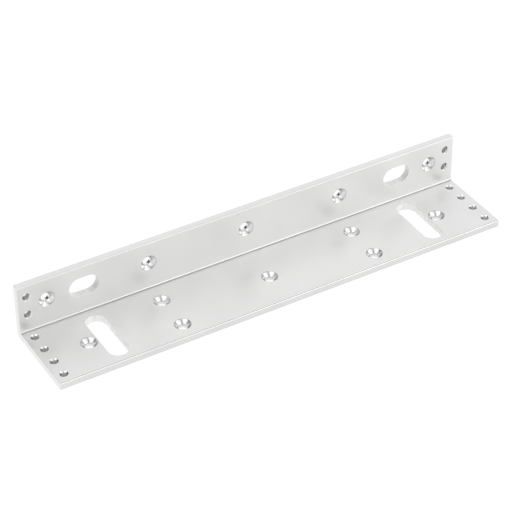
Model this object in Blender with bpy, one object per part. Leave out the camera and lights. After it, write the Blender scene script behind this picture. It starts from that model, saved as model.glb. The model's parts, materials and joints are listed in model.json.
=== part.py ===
"""Mounting bracket for a magnetic door lock.

One length of aluminium angle, cut square at both ends. The wide leg is the seat that the lock body is
screwed to. The narrow leg is the upright that is screwed to the door frame. Both legs have countersunk
screw holes, adjustment slots and small tapped holes, in patterns that mirror about the middle.

Frame: metres, +X along the length, +Y from the seat's free edge to the upright's back, +Z up. The origin
is under the middle of the bracket, on the plane that the seat rests on.
"""

import math

import bmesh
import bpy
from mathutils import Matrix

# The angle section
LENGTH = 0.250
SEAT_WIDTH = 0.047
UPRIGHT_HEIGHT = 0.031
WALL = 0.004
INNER_FILLET = 0.001
EDGE_RADIUS = 0.0005

# Countersunk screw holes, for M4 flat head screws
SCREW_BORE = 0.0045
SCREW_RIM = 0.0084
COUNTERSINK_ANGLE = math.radians(90)

# Tapped holes, M4, with a broken edge at the mouth
TAP_BORE = 0.0033
TAP_RIM = 0.0044
TAP_CHAMFER_ANGLE = math.radians(90)
TAP_END_INSET = 0.0047

# Upright: one row of screws between two end screws, with a pair of tapped holes past each end screw
UPRIGHT_ROW_BELOW_TOP = 0.012
UPRIGHT_SCREWS = 5
UPRIGHT_END_SCREW_INSET = 0.015
UPRIGHT_TAPS = 2
UPRIGHT_TAP_PITCH = 0.0105

# Seat: a screw near each end, one in the middle and a pair across the width on each side
SEAT_END_SCREW_INSET = 0.025
SEAT_PAIR_FRONT_MARGIN = 0.0095
SEAT_PAIR_BACK_MARGIN = 0.01225
SEAT_TAPS = 4
SEAT_TAP_MARGIN = 0.00575

# Slots, round ended
SLOT_WIDTH = 0.0105
UPRIGHT_SLOT_LENGTH = 0.016
SEAT_SLOT_FRONT_MARGIN = 0.004
SEAT_SLOT_BACK_MARGIN = 0.0055
SLOT_TO_SCREW_LAND = 0.00055

# How finely round shapes are divided
HOLE_STEPS = 48
TAP_STEPS = 32
SLOT_END_STEPS = 24
EDGE_STEPS = 4
FILLET_STEPS = 6

# Cutters stand past the faces that they cut by this much
CUTTER_MARGIN = 0.001

# Places that follow from the sizes above
HALF_LENGTH = LENGTH / 2
FRONT = -SEAT_WIDTH / 2
BACK = SEAT_WIDTH / 2
SEAT_TOP = WALL
UPRIGHT_FACE = BACK - WALL
UPRIGHT_ROW = UPRIGHT_HEIGHT - UPRIGHT_ROW_BELOW_TOP
UPRIGHT_END_SCREW_X = HALF_LENGTH - UPRIGHT_END_SCREW_INSET
UPRIGHT_SCREW_PITCH = 2 * UPRIGHT_END_SCREW_X / (UPRIGHT_SCREWS - 1)
SEAT_END_SCREW_X = HALF_LENGTH - SEAT_END_SCREW_INSET
SEAT_PAIR_X = UPRIGHT_SCREW_PITCH
SEAT_PAIR_FRONT = FRONT + SEAT_PAIR_FRONT_MARGIN
SEAT_PAIR_BACK = UPRIGHT_FACE - SEAT_PAIR_BACK_MARGIN
SEAT_ROW = (SEAT_PAIR_FRONT + SEAT_PAIR_BACK) / 2
SEAT_TAP_ROW = (FRONT + UPRIGHT_FACE) / 2
SEAT_TAP_PITCH = (UPRIGHT_FACE - FRONT - 2 * SEAT_TAP_MARGIN) / (SEAT_TAPS - 1)
TAP_X = HALF_LENGTH - TAP_END_INSET
SLOT_X = SEAT_END_SCREW_X - SCREW_RIM / 2 - SLOT_TO_SCREW_LAND - SLOT_WIDTH / 2
SEAT_SLOT_FRONT = FRONT + SEAT_SLOT_FRONT_MARGIN
SEAT_SLOT_BACK = UPRIGHT_FACE - SEAT_SLOT_BACK_MARGIN


def seat_place(x, y):
    """Where the mouth of a seat hole is. A cutter's own +Z points out of the mouth, here along +Z."""
    return Matrix.Translation((x, y, SEAT_TOP))


def upright_place(x, z):
    """Where the mouth of an upright hole is. A cutter's own +Z is turned to point along -Y."""
    return Matrix.Translation((x, UPRIGHT_FACE, z)) @ Matrix.Rotation(math.radians(90), 4, "X")


def evenly_spaced(count, pitch):
    """Offsets of a row of places, pitch apart, about the row's middle."""
    return [(i - (count - 1) / 2) * pitch for i in range(count)]


def arc(centre, radius, start, end, steps):
    """Points along a circular arc between two angles in degrees, both ends included."""
    points = []
    for i in range(steps + 1):
        turn = math.radians(start + (end - start) * i / steps)
        points.append((centre[0] + radius * math.cos(turn), centre[1] + radius * math.sin(turn)))
    return points


def rounded_corner(corner, inward, radius, start, end, steps):
    """The arc that rounds a square corner. inward says which way its centre lies from the corner."""
    centre = (corner[0] + inward[0] * radius, corner[1] + inward[1] * radius)
    return arc(centre, radius, start, end, steps)


def section_outline():
    """The L section in (y, z), anticlockwise from the seat's lower front corner."""
    outline = rounded_corner((FRONT, 0), (1, 1), EDGE_RADIUS, 180, 270, EDGE_STEPS)
    outline += rounded_corner((BACK, 0), (-1, 1), EDGE_RADIUS, 270, 360, EDGE_STEPS)
    outline += rounded_corner((BACK, UPRIGHT_HEIGHT), (-1, -1), EDGE_RADIUS, 0, 90, EDGE_STEPS)
    outline += rounded_corner((UPRIGHT_FACE, UPRIGHT_HEIGHT), (1, -1), EDGE_RADIUS, 90, 180, EDGE_STEPS)
    outline += rounded_corner((UPRIGHT_FACE, SEAT_TOP), (-1, 1), INNER_FILLET, 0, -90, FILLET_STEPS)
    outline += rounded_corner((FRONT, SEAT_TOP), (1, -1), EDGE_RADIUS, 90, 180, EDGE_STEPS)
    return outline


def slot_outline(length):
    """A round-ended slot in its own (x, y), with its length along x."""
    half_straight = (length - SLOT_WIDTH) / 2
    outline = arc((half_straight, 0), SLOT_WIDTH / 2, -90, 90, SLOT_END_STEPS)
    outline += arc((-half_straight, 0), SLOT_WIDTH / 2, 90, 270, SLOT_END_STEPS)
    return outline


def finished_mesh(name, mesh):
    """Turn a bmesh into a mesh with outward normals that is smooth across its round faces."""
    bmesh.ops.recalc_face_normals(mesh, faces=mesh.faces)
    data = bpy.data.meshes.new(name)
    mesh.to_mesh(data)
    mesh.free()
    data.shade_smooth()
    data.set_sharp_from_angle(angle=math.radians(30))
    return data


def prism_mesh(name, points, step):
    """A closed solid: the flat polygon through points, extruded by step."""
    mesh = bmesh.new()
    face = mesh.faces.new([mesh.verts.new(point) for point in points])
    grown = bmesh.ops.extrude_face_region(mesh, geom=[face], use_keep_orig=True)
    far_points = [item for item in grown["geom"] if isinstance(item, bmesh.types.BMVert)]
    bmesh.ops.translate(mesh, verts=far_points, vec=step)
    return finished_mesh(name, mesh)


def turned_cutter_mesh(name, rim, bore, cone_angle, steps):
    """The cutter for a hole with a cone at its mouth: half its outline, spun about z."""
    slope = math.tan(cone_angle / 2)
    cone_depth = (rim - bore) / 2 / slope
    outline = [
        (0, CUTTER_MARGIN),
        (rim / 2 + CUTTER_MARGIN * slope, CUTTER_MARGIN),
        (bore / 2, -cone_depth),
        (bore / 2, -WALL - CUTTER_MARGIN),
        (0, -WALL - CUTTER_MARGIN),
    ]
    mesh = bmesh.new()
    points = [mesh.verts.new((radius, 0, height)) for radius, height in outline]
    edges = [mesh.edges.new(pair) for pair in zip(points, points[1:])]
    bmesh.ops.spin(mesh, geom=points + edges, axis=(0, 0, 1), angle=math.tau, steps=steps)
    bmesh.ops.remove_doubles(mesh, verts=mesh.verts, dist=0.000001)
    return finished_mesh(name, mesh)


def slot_cutter_mesh(name, length):
    """The cutter for a slot through the wall."""
    base = [(x, y, -WALL - CUTTER_MARGIN) for x, y in slot_outline(length)]
    return prism_mesh(name, base, (0, 0, WALL + 2 * CUTTER_MARGIN))


def add_cutters(collection, name, mesh, places):
    """One cutter object at each place, all sharing one mesh."""
    for number, place in enumerate(places, start=1):
        cutter = bpy.data.objects.new(f"{name}_{number}", mesh)
        cutter.matrix_world = place
        cutter.hide_render = True
        cutter.display_type = "WIRE"
        collection.objects.link(cutter)


def screw_places():
    """Countersunk holes: the upright's row, then the seat's ends, middle and pairs."""
    places = [upright_place(x, UPRIGHT_ROW) for x in evenly_spaced(UPRIGHT_SCREWS, UPRIGHT_SCREW_PITCH)]
    places += [seat_place(x, SEAT_ROW) for x in (-SEAT_END_SCREW_X, 0, SEAT_END_SCREW_X)]
    for x in (-SEAT_PAIR_X, SEAT_PAIR_X):
        places += [seat_place(x, y) for y in (SEAT_PAIR_FRONT, SEAT_PAIR_BACK)]
    return places


def tap_places():
    """Tapped holes: a short column at each end of the upright and a row at each end of the seat."""
    places = []
    for x in (-TAP_X, TAP_X):
        places += [upright_place(x, UPRIGHT_ROW + z) for z in evenly_spaced(UPRIGHT_TAPS, UPRIGHT_TAP_PITCH)]
        places += [seat_place(x, SEAT_TAP_ROW + y) for y in evenly_spaced(SEAT_TAPS, SEAT_TAP_PITCH)]
    return places


def hole_cutters():
    """Every cutter, in one collection."""
    cutters = bpy.data.collections.new("cutters")
    bpy.context.scene.collection.children.link(cutters)
    screw = turned_cutter_mesh("screw_cutter", SCREW_RIM, SCREW_BORE, COUNTERSINK_ANGLE, HOLE_STEPS)
    add_cutters(cutters, "screw_cutter", screw, screw_places())
    tap = turned_cutter_mesh("tap_cutter", TAP_RIM, TAP_BORE, TAP_CHAMFER_ANGLE, TAP_STEPS)
    add_cutters(cutters, "tap_cutter", tap, tap_places())
    long_slot = slot_cutter_mesh("seat_slot_cutter", SEAT_SLOT_BACK - SEAT_SLOT_FRONT)
    across = Matrix.Rotation(math.radians(90), 4, "Z")
    long_places = [seat_place(x, (SEAT_SLOT_FRONT + SEAT_SLOT_BACK) / 2) @ across for x in (-SLOT_X, SLOT_X)]
    add_cutters(cutters, "seat_slot_cutter", long_slot, long_places)
    short_slot = slot_cutter_mesh("upright_slot_cutter", UPRIGHT_SLOT_LENGTH)
    short_places = [upright_place(x, UPRIGHT_ROW) for x in (-SLOT_X, SLOT_X)]
    add_cutters(cutters, "upright_slot_cutter", short_slot, short_places)
    return cutters


def anodised_aluminium():
    """Aluminium with a satin clear anodised skin."""
    material = bpy.data.materials.new("clear_anodised_aluminium")
    material.use_nodes = True
    shader = material.node_tree.nodes["Principled BSDF"]
    shader.inputs["Base Color"].default_value = (0.72, 0.72, 0.71, 1)
    shader.inputs["Metallic"].default_value = 1
    shader.inputs["Roughness"].default_value = 0.38
    return material


def angle_bracket():
    """The whole bracket: the section extruded to length, with every hole cut through it."""
    end = [(-HALF_LENGTH, y, z) for y, z in section_outline()]
    bracket = bpy.data.objects.new("angle_bracket", prism_mesh("angle_bracket", end, (LENGTH, 0, 0)))
    bracket.data.materials.append(anodised_aluminium())
    bpy.context.scene.collection.objects.link(bracket)
    holes = bracket.modifiers.new("holes", "BOOLEAN")
    holes.operation = "DIFFERENCE"
    holes.solver = "EXACT"
    holes.operand_type = "COLLECTION"
    holes.collection = hole_cutters()
    return bracket


for old in list(bpy.data.objects):
    bpy.data.objects.remove(old, do_unlink=True)
angle_bracket()
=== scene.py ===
# %% [markdown]
# A mounting bracket for a magnetic door lock: one length of aluminium angle, sawn to length, drilled,
# countersunk, slotted, tapped and then clear anodised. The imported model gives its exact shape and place.
# This lesson makes the same piece again with the marks of how it is made: broken edges, cut threads,
# turned countersinks, sawn ends and the satin skin. It then lights it on an opal table.

# %% Load the frame
import json
import math

import bmesh
import bpy
from mathutils import Matrix, Vector

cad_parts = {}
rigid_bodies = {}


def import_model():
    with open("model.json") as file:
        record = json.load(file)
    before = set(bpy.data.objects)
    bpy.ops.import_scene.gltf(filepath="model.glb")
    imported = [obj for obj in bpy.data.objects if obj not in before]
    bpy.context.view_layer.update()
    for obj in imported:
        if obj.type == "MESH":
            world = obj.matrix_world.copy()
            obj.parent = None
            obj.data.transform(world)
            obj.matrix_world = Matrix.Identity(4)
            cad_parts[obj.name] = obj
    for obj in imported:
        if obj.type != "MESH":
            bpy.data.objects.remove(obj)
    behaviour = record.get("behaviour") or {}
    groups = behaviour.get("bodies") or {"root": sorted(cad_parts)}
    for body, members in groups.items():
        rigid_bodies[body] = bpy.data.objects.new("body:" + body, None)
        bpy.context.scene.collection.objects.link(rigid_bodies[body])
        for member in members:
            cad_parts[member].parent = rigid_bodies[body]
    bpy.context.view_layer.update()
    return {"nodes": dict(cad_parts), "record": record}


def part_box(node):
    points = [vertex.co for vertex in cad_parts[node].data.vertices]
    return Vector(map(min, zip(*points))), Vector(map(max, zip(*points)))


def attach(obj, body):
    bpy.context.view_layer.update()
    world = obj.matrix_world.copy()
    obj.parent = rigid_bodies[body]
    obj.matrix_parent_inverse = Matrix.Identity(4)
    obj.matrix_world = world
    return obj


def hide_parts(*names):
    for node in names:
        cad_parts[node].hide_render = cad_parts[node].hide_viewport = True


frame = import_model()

mm = 0.001
low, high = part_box("angle_bracket")
mounts = {mount["name"]: Vector(mount["pos_m"]) for mount in frame["record"]["mounts"]}
seat_top = mounts["seat_top"].z
upright_face = mounts["upright_front"].y
wall = seat_top - low.z
print("stock, mm:", [round(side / mm, 2) for side in high - low], "wall", round(wall / mm, 2))

# %% [markdown]
# Every hole of the real bracket is drilled to a drawing, and here the frame is that drawing. The holes
# could be typed in again as numbers, but then two files would have to agree. It is safer to find them:
# merge a copy of the frame's mesh, set aside the faces that lie on the outer skin, and what is left
# falls into islands, one for each hole. The long thin islands are the rounded edges of the extrusion,
# and they are skipped.

# %% Find the holes in the frame
near = 0.01 * mm          # two places closer than this are the same place
weld = 0.001 * mm
widest_tap = 6 * mm       # every screw's countersink is wider than this at its mouth
slot_stretch = 1.2        # anything this much longer than wide is a slot
skin_planes = [(0, low.x), (0, high.x), (1, low.y), (1, high.y), (1, upright_face)]
skin_planes += [(2, low.z), (2, high.z), (2, seat_top)]


def merged_copy(mesh):
    """A bmesh of the mesh with its loose triangles joined."""
    joined = bmesh.new()
    joined.from_mesh(mesh)
    bmesh.ops.remove_doubles(joined, verts=joined.verts, dist=weld)
    return joined


def lies_in(face, axis, place):
    """True if the whole face lies in the plane across axis at place."""
    return all(abs(vert.co[axis] - place) < near for vert in face.verts)


def islands(faces):
    """The faces in groups that hang together by their edges."""
    waiting = set(faces)
    groups = []
    for start in faces:
        if start not in waiting:
            continue
        waiting.remove(start)
        group = [start]
        for face in group:
            for edge in face.edges:
                for neighbour in edge.link_faces:
                    if neighbour in waiting:
                        waiting.remove(neighbour)
                        group.append(neighbour)
        groups.append(group)
    return groups


def measure_hole(group):
    """A hole's leg, middle, size at the mouth, width of its far end and kind."""
    points = [vert.co for face in group for vert in face.verts]
    least = Vector(min(point[i] for point in points) for i in range(3))
    most = Vector(max(point[i] for point in points) for i in range(3))
    on_seat = most.z < seat_top + near
    far_axis, far_place = (2, low.z) if on_seat else (1, high.y)
    far_end = [point.x for point in points if abs(point[far_axis] - far_place) < near]
    size = most - least
    across, along = sorted((size.x, size.y if on_seat else size.z))
    if along > slot_stretch * across:
        kind = "slot"
    else:
        kind = "screw" if across > widest_tap else "tap"
    return {
        "kind": kind, "on_seat": on_seat, "centre": (least + most) / 2, "across": across,
        "along": along, "lengthways": size.x > across + near, "bore": max(far_end) - min(far_end),
    }


stock = merged_copy(frame["nodes"]["angle_bracket"].data)
inner_faces = [face for face in stock.faces if not any(lies_in(face, *plane) for plane in skin_planes)]
stock_length = high.x - low.x
holes = []
for group in islands(inner_faces):
    spread = [vert.co.x for face in group for vert in face.verts]
    if max(spread) - min(spread) < stock_length / 2:
        holes.append(measure_hole(group))
for kind in ("screw", "tap", "slot"):
    chosen = [hole for hole in holes if hole["kind"] == kind]
    print(len(chosen), kind, "mouth", sorted({round(hole["across"] / mm, 2) for hole in chosen}),
          "far end", sorted({round(hole["bore"] / mm, 2) for hole in chosen}))

# %% [markdown]
# The angle itself is an extrusion: hot aluminium pushed through a die, so one section runs the whole
# length. A box with a second box joined on would lose the rounded edges and the small fillet inside the
# corner. The frame's own end face has them, so it is kept as the section and extruded to the far end, as
# the die did it. The saw leaves sharp ends, and a file takes off about 0.15 mm: a bevel on the two end
# outlines.

# %% Extrude the section and break its sawn ends
file_break = 0.15 * mm


def extruded_angle():
    """The plain angle, from the frame's end section."""
    angle = merged_copy(frame["nodes"]["angle_bracket"].data)
    rest = [face for face in angle.faces if not lies_in(face, 0, low.x)]
    bmesh.ops.delete(angle, geom=rest, context="FACES")
    bmesh.ops.dissolve_faces(angle, faces=angle.faces[:])
    grown = bmesh.ops.extrude_face_region(angle, geom=angle.faces[:], use_keep_orig=True)
    far = [item for item in grown["geom"] if isinstance(item, bmesh.types.BMVert)]
    bmesh.ops.translate(angle, verts=far, vec=(stock_length, 0, 0))
    bmesh.ops.recalc_face_normals(angle, faces=angle.faces)
    ends = [edge for edge in angle.edges if abs(edge.verts[0].co.x - edge.verts[1].co.x) < near]
    bmesh.ops.bevel(
        angle, geom=ends, offset=file_break, segments=2, profile=0.5, affect="EDGES", material=-1
    )
    return angle


angle = extruded_angle()
end_corners = max(len(face.verts) for face in angle.faces)
print("angle:", len(angle.faces), "faces, its section has", end_corners, "corners")

# %% [markdown]
# Finishes first, because each cutter carries the finish of the surface that it leaves. Colours are given
# as sRGB hex, as on a paint card, and one function turns them to the linear values that the shader works
# in. One more function adds a node with its settings and its links. The rest build what every finish
# here has: bare metal, a colour that drifts between two tones, and a relief too fine to model.

# %% Colour and node helpers


def linear(hex_colour):
    """A linear RGBA colour from sRGB hex."""
    shares = [int(hex_colour[i:i + 2], 16) / 255 for i in (1, 3, 5)]
    return [s / 12.92 if s <= 0.04045 else ((s + 0.055) / 1.055) ** 2.4 for s in shares] + [1]


def add_node(tree, kind, settings=(), values=(), links=()):
    """One node with its settings, the plain values of its inputs and the sockets that feed it."""
    node = tree.nodes.new(kind)
    for name, value in dict(settings).items():
        setattr(node, name, value)
    for name, value in dict(values).items():
        node.inputs[name].default_value = value
    for name, socket in dict(links).items():
        tree.links.new(socket, node.inputs[name])
    return node


def new_metal(name, roughness):
    """A bare metal material, with its tree and its shader."""
    material = bpy.data.materials.new(name)
    material.use_nodes = True
    shader = material.node_tree.nodes["Principled BSDF"]
    shader.inputs["Metallic"].default_value = 1
    shader.inputs["Roughness"].default_value = roughness
    return material, material.node_tree, shader


def tint_by(tree, shader, factor, start, dark, light):
    """A base colour that goes from dark to light as factor climbs from start to 1 - start."""
    ramp = add_node(tree, "ShaderNodeValToRGB", links={"Fac": factor})
    tones = ramp.color_ramp.elements
    tones[0].position = start
    tones[0].color = linear(dark)
    tones[1].position = 1 - start
    tones[1].color = linear(light)
    tree.links.new(ramp.outputs["Color"], shader.inputs["Base Color"])


def bump_by(tree, shader, height, strength, depth):
    """A relief of the given depth in metres, where height says how high the surface stands."""
    bump = add_node(tree, "ShaderNodeBump", values={"Strength": strength, "Distance": depth},
                    links={"Height": height})
    tree.links.new(bump.outputs["Normal"], shader.inputs["Normal"])


print("mid grey, linear:", [round(share, 3) for share in linear("#808080")[:3]])

# %% [markdown]
# The skin is 6063 aluminium with a satin clear anodised coat. The die leaves fine lines along the
# length, the caustic etch before anodising blurs them into a matt silver grey, and the bath leaves very
# slight clouds. A flat grey metal would look like plastic. So the roughness and the bump follow noise
# that is drawn out along the length, with a fine isotropic grain over it, and the colour drifts by a
# percent or two. The die rubs hardest where the section turns: the rounded corners come out burnished
# and catch a thin bright line, and the fillet inside the angle is smoother than the flats. The fillet's
# colour is also darker than the skin, as painted shade in the inner corner. The rounded front corner is
# a shade darker, as painted shade along that edge. The free edge of the seat is rougher, and its colour
# is darkened as painted shade on the front face.

# %% Satin anodised skin
die_line = 0.45 * mm      # across the lines; real ones are nearer 0.1 mm, too fine to show
die_stretch = 90 * mm     # along the lines
etch_grain = 0.16 * mm
cloud = 26 * mm
grain_share = 0.35        # how high the grain stands beside the lines


def anodised_extrusion(name, least, most, dark, light):
    """Clear anodised extrusion. Its roughness goes from least to most, its colour from dark to light."""
    material, tree, shader = new_metal(name, most)
    place = add_node(tree, "ShaderNodeTexCoord").outputs["Object"]
    drawn = add_node(tree, "ShaderNodeMapping",
                     values={"Scale": (1 / die_stretch, 1 / die_line, 1 / die_line)},
                     links={"Vector": place})
    lines = add_node(tree, "ShaderNodeTexNoise", values={"Scale": 1, "Detail": 3, "Roughness": 0.6},
                     links={"Vector": drawn.outputs["Vector"]})
    grain = add_node(tree, "ShaderNodeTexNoise", values={"Scale": 1 / etch_grain, "Detail": 2},
                     links={"Vector": place})
    clouds = add_node(tree, "ShaderNodeTexNoise", values={"Scale": 1 / cloud, "Detail": 2},
                      links={"Vector": place})
    tint_by(tree, shader, clouds.outputs["Fac"], 0.3, dark, light)
    gloss = add_node(tree, "ShaderNodeMapRange",
                     values={"From Min": 0.3, "From Max": 0.7, "To Min": least, "To Max": most},
                     links={"Value": lines.outputs["Fac"]})
    tree.links.new(gloss.outputs["Result"], shader.inputs["Roughness"])
    relief = add_node(tree, "ShaderNodeMath", {"operation": "MULTIPLY_ADD"}, {1: grain_share},
                      {0: grain.outputs["Fac"], 2: lines.outputs["Fac"]})
    bump_by(tree, shader, relief.outputs["Value"], 0.25, 0.01 * mm)
    return material


skin = anodised_extrusion("satin_anodised_extrusion", 0.37, 0.43, "#E0E0DF", "#E4E4E3")
# The fillet's colour is darker than the skin: painted shade in the inner corner.
die_fillet = anodised_extrusion("smoothed_fillet_painted_shade", 0.28, 0.34, "#CCCCCB", "#D2D2D1")
# The front corner's colour is a shade darker than the skin: painted shade along that edge.
die_corner = anodised_extrusion("burnished_corner_painted_shade", 0.14, 0.18, "#DADAD9", "#DEDEDD")
# The seat's front face is rougher, and its colour is darker than the skin: painted shade.
flange_edge = anodised_extrusion("flange_edge_painted_shade", 0.44, 0.52, "#D8D8D7", "#DEDEDD")
print("skins:", skin.name, die_fillet.name, die_corner.name, flange_edge.name)

# %% [markdown]
# A countersink is turned by a 90 degree cutter, so fine rings run round its cone, and its coat is
# thinner and brighter than the etched skin. The drill leaves the same rings down the bore. Rings could
# be painted with a texture for each hole, but every hole has its own middle. A UV map does it for all of
# them at once: U runs round the hole and V runs down it, so a pattern that follows V is a ring in every
# hole.

# %% Turned countersinks and drilled bores
turning_ring = 0.22 * mm


def cut_aluminium(name, light, dark, roughness, mark_size, depth):
    """Cut aluminium with tool marks. mark_size is their spacing in metres round and down the hole."""
    material, tree, shader = new_metal(name, roughness)
    around = add_node(tree, "ShaderNodeUVMap", {"uv_map": "round_and_down"})
    scaled = add_node(tree, "ShaderNodeMapping",
                      values={"Scale": (1 / mark_size[0], 1 / mark_size[1], 1)},
                      links={"Vector": around.outputs["UV"]})
    marks = add_node(tree, "ShaderNodeTexNoise", values={"Scale": 1, "Detail": 2},
                     links={"Vector": scaled.outputs["Vector"]})
    tint_by(tree, shader, marks.outputs["Fac"], 0.35, dark, light)
    bump_by(tree, shader, marks.outputs["Fac"], 0.4, depth)
    return material


# The cone is smooth enough to show soft bright and dark sectors.
cone_finish = cut_aluminium(
    "turned_countersink", "#E8E8E8", "#DADADA", 0.24, (9 * mm, turning_ring), 0.01 * mm
)
# The grey line round the mouth of each countersink is painted shade at the rim.
rim_shade_finish = cut_aluminium("painted_shade_rim", "#B8B8B8", "#9C9C9C", 0.3, (3 * mm, 0.3 * mm), 0.01 * mm)
# The drill burnishes the bore, so one side is nearly black and the other nearly white.
bore_finish = cut_aluminium(
    "drilled_bore", "#ECECEC", "#DEDEDE", 0.24, (6 * mm, 0.3 * mm), 0.015 * mm
)
# A thread traps light between its flanks and reads as a dark hole. Its colour is also darker than
# the bore's, as painted shade in the tapped hole.
thread_finish = cut_aluminium(
    "cut_thread_painted_shade", "#D6D6D6", "#C2C2C2", 0.26, (1.5 * mm, 0.3 * mm), 0.01 * mm
)
# The end mill leaves upright chatter marks, and the slot wall looks matt and pale.
slot_finish = cut_aluminium(
    "milled_slot_wall", "#F6F6F5", "#ECECEB", 0.8, (0.35 * mm, 5 * mm), 0.015 * mm
)
cut_finishes = [cone_finish, rim_shade_finish, bore_finish, thread_finish, slot_finish]
print("cut finishes:", [finish.name for finish in cut_finishes])

# %% [markdown]
# The ends are sawn. A big circular blade leaves shallow arcs across the section, a little brighter and
# rougher than the etched skin. The blade's middle is far outside the section, so noise that depends only
# on the distance from that point gives the arcs.

# %% Sawn ends
saw_arc = 0.5 * mm
blade_middle = Vector((0, low.y - 60 * mm, high.z + 90 * mm))


def sawn_end():
    """Aluminium cut by a circular saw, then anodised."""
    material, tree, shader = new_metal("sawn_end", 0.42)
    place = add_node(tree, "ShaderNodeTexCoord").outputs["Object"]
    flat = add_node(tree, "ShaderNodeVectorMath", {"operation": "MULTIPLY"}, {1: (0, 1, 1)}, {0: place})
    reach = add_node(tree, "ShaderNodeVectorMath", {"operation": "DISTANCE"}, {1: blade_middle},
                     {0: flat.outputs["Vector"]})
    paced = add_node(tree, "ShaderNodeMath", {"operation": "DIVIDE"}, {1: saw_arc},
                     {0: reach.outputs["Value"]})
    arcs = add_node(tree, "ShaderNodeTexNoise", {"noise_dimensions": "1D"}, {"Scale": 1, "Detail": 3},
                    {"W": paced.outputs["Value"]})
    tint_by(tree, shader, arcs.outputs["Fac"], 0.35, "#E8E8E7", "#F4F4F3")
    bump_by(tree, shader, arcs.outputs["Fac"], 0.5, 0.02 * mm)
    return material


end_finish = sawn_end()
print("end finish:", end_finish.name)

# %% [markdown]
# The countersunk holes are cut by a solid of revolution. Two cones and a cylinder could be stacked, but
# half of the outline, spun once round, is one closed cutter with no overlaps. The outline also breaks
# the edges: a tiny step in slope where the cone meets the face, and a small chamfer at the far side of
# the bore.

# %% Cutter for a countersunk hole
edge_break = 0.1 * mm
rim_band = 0.35 * mm      # the width of the painted shade line round a countersink's mouth
past_face = 1 * mm        # a cutter runs on past both faces, so that it cuts clean through


def closed_mesh(name, shape, finishes):
    """A bmesh turned into a mesh, facing outwards, with its finishes."""
    bmesh.ops.recalc_face_normals(shape, faces=shape.faces)
    mesh = bpy.data.meshes.new(name)
    shape.to_mesh(mesh)
    shape.free()
    for finish in finishes:
        mesh.materials.append(finish)
    return mesh


def turned(outline, steps):
    """Half an outline of (radius, height) pairs, spun a full turn about z."""
    shape = bmesh.new()
    points = [shape.verts.new((radius, 0, height)) for radius, height in outline]
    lines = [shape.edges.new(pair) for pair in zip(points, points[1:])]
    bmesh.ops.spin(
        shape, geom=points + lines, axis=(0, 0, 1), angle=math.tau, steps=steps, use_merge=True
    )
    bmesh.ops.remove_doubles(shape, verts=shape.verts, dist=weld)
    return shape


def countersink_cutter(rim, bore):
    """Cuts a 90 degree countersink and its through bore from a mouth at the origin, looking along +z."""
    cone_depth = (rim - bore) / 2
    mouth = rim / 2 + 3 * edge_break
    far_mouth = bore / 2 + 3 * edge_break
    shape = turned([
        (0, past_face),
        (mouth, past_face),
        (mouth, edge_break),
        (rim / 2 - edge_break, -edge_break),
        (rim / 2 - rim_band, -rim_band),
        (bore / 2 + edge_break, -cone_depth + edge_break),
        (bore / 2, -cone_depth - edge_break),
        (bore / 2, -wall + edge_break),
        (far_mouth, -wall - 2 * edge_break),
        (far_mouth, -wall - past_face),
        (0, -wall - past_face),
    ], steps=96)
    for face in shape.faces:
        depth = -sum(vert.co.z for vert in face.verts) / len(face.verts)
        face.material_index = 2 if depth < rim_band / 2 else (0 if depth < cone_depth else 1)
    return closed_mesh("countersink_cutter", shape, [cone_finish, bore_finish, rim_shade_finish])


screws = [hole for hole in holes if hole["kind"] == "screw"]
screw_mesh = countersink_cutter(screws[0]["across"], screws[0]["bore"])
print("countersink cutter:", len(screw_mesh.polygons), "faces")

# %% [markdown]
# The small holes near the ends are tapped M4. A thread could be faked with rings, but rings don't climb.
# A real one is a groove that climbs one pitch each turn, so its outline is spun with a step along the
# axis, and the groove is cut after the core hole. The core is chamfered at both mouths, so that the tap
# starts cleanly.

# %% Cutters for a tapped hole
pitch = 0.7 * mm
thread_radius = 2.0 * mm
bottom_half = 0.04 * mm   # half the width of the groove at its bottom
mouth_half = 0.3 * mm     # and at its mouth
overlap = 0.06 * mm       # the groove starts this far inside the core hole, so that the two join
run_out = 0.6 * past_face
turn_steps = 24


def core_cutter(rim, core):
    """Cuts the core of a tapped hole, with a chamfer at each mouth."""
    chamfer = (rim - core) / 2
    shape = turned([
        (0, past_face),
        (rim / 2 + past_face, past_face),
        (core / 2, -chamfer),
        (core / 2, -wall + chamfer),
        (rim / 2 + past_face, -wall - past_face),
        (0, -wall - past_face),
    ], steps=64)
    for face in shape.faces:
        depth = sum(vert.co.z for vert in face.verts) / len(face.verts)
        face.material_index = 1 if -wall + chamfer < depth < -chamfer else 0
    return closed_mesh("core_cutter", shape, [cone_finish, thread_finish])


def thread_cutter(core):
    """Cuts the V groove of an M4 thread, a helix that runs past both faces."""
    shape = bmesh.new()
    inside = core / 2 - overlap
    corners = [
        (inside, mouth_half), (thread_radius, bottom_half), (thread_radius, -bottom_half),
        (inside, -mouth_half),
    ]
    face = shape.faces.new([shape.verts.new((radius, 0, run_out + rise)) for radius, rise in corners])
    turns = (wall + 2 * run_out) / pitch
    steps = round(turns * turn_steps)
    bmesh.ops.spin(shape, geom=[face], axis=(0, 0, 1), dvec=(0, 0, -pitch / turn_steps),
                   angle=-math.tau * steps / turn_steps, steps=steps)
    return closed_mesh("thread_cutter", shape, [thread_finish])


taps = [hole for hole in holes if hole["kind"] == "tap"]
core_mesh = core_cutter(taps[0]["across"], taps[0]["bore"])
thread_mesh = thread_cutter(taps[0]["bore"])
print("core cutter:", len(core_mesh.polygons), "faces")
print("thread cutter:", len(thread_mesh.polygons), "faces")

# %% [markdown]
# A slot is a round cutter moved sideways, so its outline is a circle pulled apart at the middle. The
# rings of the cutter are that outline at several heights, a little wider at each face to break the
# edges, bridged one to the next and closed at both ends.

# %% Cutter for a slot
slot_steps = 96


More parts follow.
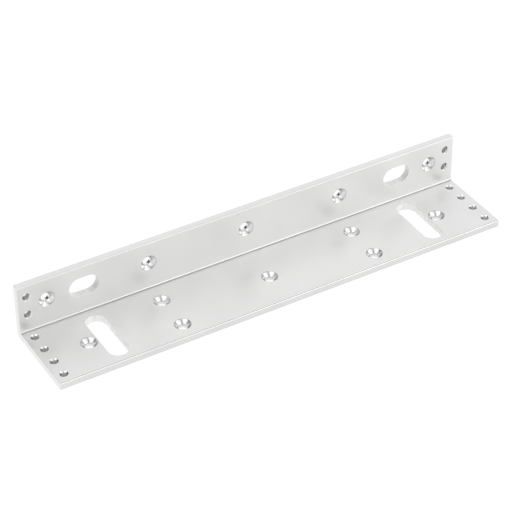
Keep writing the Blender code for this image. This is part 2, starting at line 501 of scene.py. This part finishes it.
def slot_cutter(across, along):
    """Cuts a round-ended slot with its length along x."""
    shape = bmesh.new()
    flare = 3 * edge_break
    rings = []
    for spread, height in [
        (flare, past_face), (flare, 2 * edge_break), (0, -edge_break),
        (0, -wall + edge_break), (flare, -wall - 2 * edge_break), (flare, -wall - past_face),
    ]:
        ring = bmesh.ops.create_circle(shape, radius=across / 2 + spread, segments=slot_steps)["verts"]
        bmesh.ops.rotate(shape, verts=ring, matrix=Matrix.Rotation(math.pi / slot_steps, 3, "Z"))
        for side in (-1, 1):
            half = [vert for vert in ring if vert.co.x * side > 0]
            bmesh.ops.translate(shape, verts=half, vec=(side * (along - across) / 2, 0, height))
        rings.append(list(dict.fromkeys(edge for vert in ring for edge in vert.link_edges)))
    for ring, following in zip(rings, rings[1:]):
        bmesh.ops.bridge_loops(shape, edges=ring + following)
    for ring in (rings[0], rings[-1]):
        bmesh.ops.edgeloop_fill(shape, edges=ring)
    return closed_mesh("slot_cutter", shape, [slot_finish])


slots = [hole for hole in holes if hole["kind"] == "slot"]
slot_meshes = {round(slot["along"], 4): slot_cutter(slot["across"], slot["along"]) for slot in slots}
print("slot cutters:", [round(length / mm, 1) for length in slot_meshes])

# %% [markdown]
# Each cutter is set at its hole's mouth, with its own +z pointing out of the metal, and one Boolean
# takes them all out. The threads go second, after the cores are open. The Boolean carries each cutter's
# finish onto the surface that it cuts.

# %% Drill, countersink, slot and tap


def mouth_of(hole):
    """Where a hole's mouth is, turned so that +z points out of it and x lies along a slot."""
    if hole["on_seat"]:
        place = Matrix.Translation((hole["centre"].x, hole["centre"].y, seat_top))
    else:
        place = Matrix.Translation((hole["centre"].x, upright_face, hole["centre"].z))
        place = place @ Matrix.Rotation(math.radians(90), 4, "X")
    if hole["kind"] == "slot" and not hole["lengthways"]:
        place = place @ Matrix.Rotation(math.radians(90), 4, "Z")
    return place


def cut(mesh, pairs):
    """The mesh with every (hole, cutter mesh) pair taken out of it."""
    body = bpy.data.objects.new("body_to_cut", mesh)
    bpy.context.scene.collection.objects.link(body)
    tools = bpy.data.collections.new("cutters")
    bpy.context.scene.collection.children.link(tools)
    for hole, cutter_mesh in pairs:
        tool = bpy.data.objects.new("cutter", cutter_mesh)
        tool.matrix_world = mouth_of(hole)
        tools.objects.link(tool)
    boolean = body.modifiers.new("cut", "BOOLEAN")
    boolean.operation = "DIFFERENCE"
    boolean.solver = "EXACT"
    boolean.material_mode = "TRANSFER"
    boolean.operand_type = "COLLECTION"
    boolean.collection = tools
    evaluated = body.evaluated_get(bpy.context.evaluated_depsgraph_get())
    result = bpy.data.meshes.new_from_object(evaluated)
    for tool in list(tools.objects):
        bpy.data.objects.remove(tool)
    bpy.data.objects.remove(body)
    bpy.data.collections.remove(tools)
    return result


skins = [skin, end_finish, die_fillet, die_corner, flange_edge]
square_on = 0.999         # a normal with a part this large lies along an axis


def finish_of(polygon):
    """Which of the skins a face of the plain angle has."""
    if abs(polygon.normal.x) > 0.5:
        return end_finish
    if polygon.normal.y < -square_on and polygon.center.y < low.y + near:
        return flange_edge
    if max(abs(part) for part in polygon.normal) > square_on:
        return skin
    # The rounded corners at the top of the upright and at the underside are as matt as the flats.
    if polygon.center.z > seat_top + wall / 2 or polygon.center.z < seat_top / 2:
        return skin
    return die_fillet if polygon.center.y > low.y + wall else die_corner


plain = closed_mesh("plain_angle", angle, skins)
for polygon in plain.polygons:
    polygon.material_index = skins.index(finish_of(polygon))
through_cuts = [(hole, screw_mesh) for hole in screws] + [(hole, core_mesh) for hole in taps]
through_cuts += [(hole, slot_meshes[round(hole["along"], 4)]) for hole in slots]
drilled = cut(plain, through_cuts)
tapped = cut(drilled, [(hole, thread_mesh) for hole in taps])
print("drilled:", len(drilled.polygons), "faces, tapped:", len(tapped.polygons), "faces")
print("finishes:", [material.name for material in tapped.materials])

# %% [markdown]
# The cut surfaces now get their UV map. For each corner of a cut face the nearest hole gives the middle,
# and U is the way round it at the wall, in metres, and V the way down it. Across the seam the angle
# jumps by a whole turn, so each face's angles are brought to within half a turn of its first one. Smooth
# shading then joins the facets of the cones and bores, and edges above 32 degrees stay crisp.

# %% Map the cut surfaces round and down their holes
sharp_above = math.radians(32)


def map_round_and_down(mesh):
    """A UV map in metres, round and down each hole."""
    layer = mesh.uv_layers.new(name="round_and_down")
    spots = [(hole["centre"], mouth_of(hole).inverted(), hole) for hole in holes]
    for polygon in mesh.polygons:
        if mesh.materials[polygon.material_index] in skins:
            continue
        middle = polygon.center
        _, to_hole, hole = min(spots, key=lambda spot: (spot[0] - middle).length_squared)
        first_turn = None
        for loop_index in polygon.loop_indices:
            local = to_hole @ mesh.vertices[mesh.loops[loop_index].vertex_index].co
            turn = math.atan2(local.y, local.x)
            if first_turn is None:
                first_turn = turn
            turn -= math.tau * round((turn - first_turn) / math.tau)
            layer.data[loop_index].uv = (turn * hole["across"] / 2, local.z)


map_round_and_down(tapped)
bracket = bpy.data.objects.new("angle_bracket_finished", tapped)
bpy.context.scene.collection.objects.link(bracket)
tapped.shade_smooth()
tapped.set_sharp_from_angle(angle=sharp_above)
weighted = bracket.modifiers.new("face_weighted_normals", "WEIGHTED_NORMAL")
weighted.keep_sharp = True
weighted.weight = 100
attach(bracket, "root")
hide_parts("angle_bracket")
triangles = sum(len(polygon.vertices) - 2 for polygon in tapped.polygons)
print("bracket:", triangles, "triangles")

# %% [markdown]
# The bracket lies on a table of opal acrylic lit from below, which is how small bright metal is shown
# with no hard shadow. The table glows, so it stays pure white even where it is seen through the holes. A
# lamp under a sheet of glass would do the same with much more noise, so the sheet gives off the light
# itself.

# %% Opal table
table_half = 3            # metres from its middle to each edge
table_gap = 0.05 * mm     # keeps the table and the bracket's underside from lying in one plane
glow = 0.92


def opal_table():
    """A wide white table top, just under the bracket."""
    shape = bmesh.new()
    bmesh.ops.create_grid(shape, x_segments=1, y_segments=1, size=table_half)
    bmesh.ops.translate(shape, verts=shape.verts, vec=(0, 0, low.z - table_gap))
    material = bpy.data.materials.new("opal_acrylic")
    material.use_nodes = True
    shader = material.node_tree.nodes["Principled BSDF"]
    # The glow already makes it white, so its own colour can be dark and add little.
    shader.inputs["Base Color"].default_value = linear("#585858")
    shader.inputs["Roughness"].default_value = 0.6
    shader.inputs["Specular IOR Level"].default_value = 0.2
    shader.inputs["Emission Color"].default_value = linear("#FFFFFF")
    shader.inputs["Emission Strength"].default_value = glow
    table = bpy.data.objects.new("table", closed_mesh("table", shape, [material]))
    bpy.context.scene.collection.objects.link(table)
    return table


table = opal_table()
print("stage:", table.name, [round(side) for side in table.dimensions], "metres")

# %% [markdown]
# Round the table stands a tent of white cloth. Lamps outside it make soft bright patches on the cloth,
# and the gaps between them stay darker. Bare metal shows nothing but its surroundings, so these patches
# give each face and each cone its tone. Area lights would give the same patches, but the tent is so big
# beside the bracket that it can be the world itself: a brightness that depends only on the direction.

# %% Tent
cloth_level = 0.93
darkest_cloth = 0.02      # where gaps overlap, the cloth gets no darker than this
# Each patch: the direction towards it, how far it reaches from there in degrees, the light that it adds.
patches = {
    "lamp_back": ((0.15, 0.8, 0.55), 60, 0.19),
    "lamp_front": ((0.56, -0.73, 0.41), 43, 1.52),
    "lamp_left": ((-0.55, -0.2, 0.81), 34, 0.9),
    "lamp_right": ((0.75, 0.6, 0.35), 45, 0.03),
    "gap_overhead": ((0.4, -0.1, 0.91), 28, -0.77),
    "gap_right": ((0.93, -0.05, 0.3), 35, -0.5),
    "gap_behind": ((-0.48, 0.74, 0.44), 42, -1.3),
    "gap_corner": ((0.42, -0.62, 0.66), 15, -1.15),
    "gap_front": ((0, -0.8, 0.6), 34, -0.55),
    "gap_camera": ((-0.45, -0.7, 0.55), 18, -0.15),
    "gap_low": ((0, 0, -1), 112, -1.0),
}


def white_tent():
    """A world of soft white cloth, with a bright or dark patch for each entry of patches."""
    world = bpy.data.worlds.new("white_tent")
    world.use_nodes = True
    tree = world.node_tree
    towards = add_node(tree, "ShaderNodeTexCoord").outputs["Generated"]
    total = add_node(tree, "ShaderNodeValue").outputs["Value"]
    total.default_value = cloth_level
    for name, (direction, reach, gain) in patches.items():
        facing = add_node(tree, "ShaderNodeVectorMath", {"operation": "DOT_PRODUCT", "name": name},
                          {1: Vector(direction).normalized()}, {0: towards})
        rim_cosine = math.cos(math.radians(reach))
        falloff = add_node(tree, "ShaderNodeMapRange", {"interpolation_type": "SMOOTHSTEP"},
                           {"From Min": rim_cosine, "From Max": 1, "To Max": gain},
                           {"Value": facing.outputs["Value"]})
        total = add_node(tree, "ShaderNodeMath", {"operation": "ADD"},
                         links={0: total, 1: falloff.outputs["Result"]}).outputs["Value"]
    total = add_node(tree, "ShaderNodeMath", {"operation": "MAXIMUM"}, {1: darkest_cloth},
                     {0: total}).outputs["Value"]
    background = tree.nodes["Background"]
    background.inputs["Color"].default_value = linear("#FEFFFF")
    tree.links.new(total, background.inputs["Strength"])
    return world


bpy.context.scene.world = white_tent()
bpy.context.scene.view_settings.view_transform = "Standard"
print("tent patches:", list(patches))

# %% [markdown]
# A long lens from about a metre keeps the near end from looking swollen. The camera stands to the left,
# above and in front, and is described by where it looks, how far away it is and three angles, so it is
# easy to swing round.

# %% Camera
azimuth = math.radians(-30.13)
elevation = math.radians(37.04)
roll = math.radians(-0.57)
distance = 0.987          # metres
looking_at = Vector((-5.65 * mm, 0.1 * mm, 16.65 * mm))

lens = bpy.data.cameras.new("camera")
lens.lens = 141.1         # millimetres, on a sensor 36 mm wide
lens.sensor_width = 36
camera = bpy.data.objects.new("camera", lens)
backwards = Vector((math.sin(azimuth) * math.cos(elevation),
                    -math.cos(azimuth) * math.cos(elevation),
                    math.sin(elevation)))
camera.location = looking_at + backwards * distance
upright = (-backwards).to_track_quat("-Z", "Y").to_matrix()
camera.rotation_euler = (upright @ Matrix.Rotation(roll, 3, "Z")).to_euler()
bpy.context.scene.collection.objects.link(camera)
bpy.context.scene.camera = camera
print("camera at, mm:", [round(part / mm) for part in camera.location])
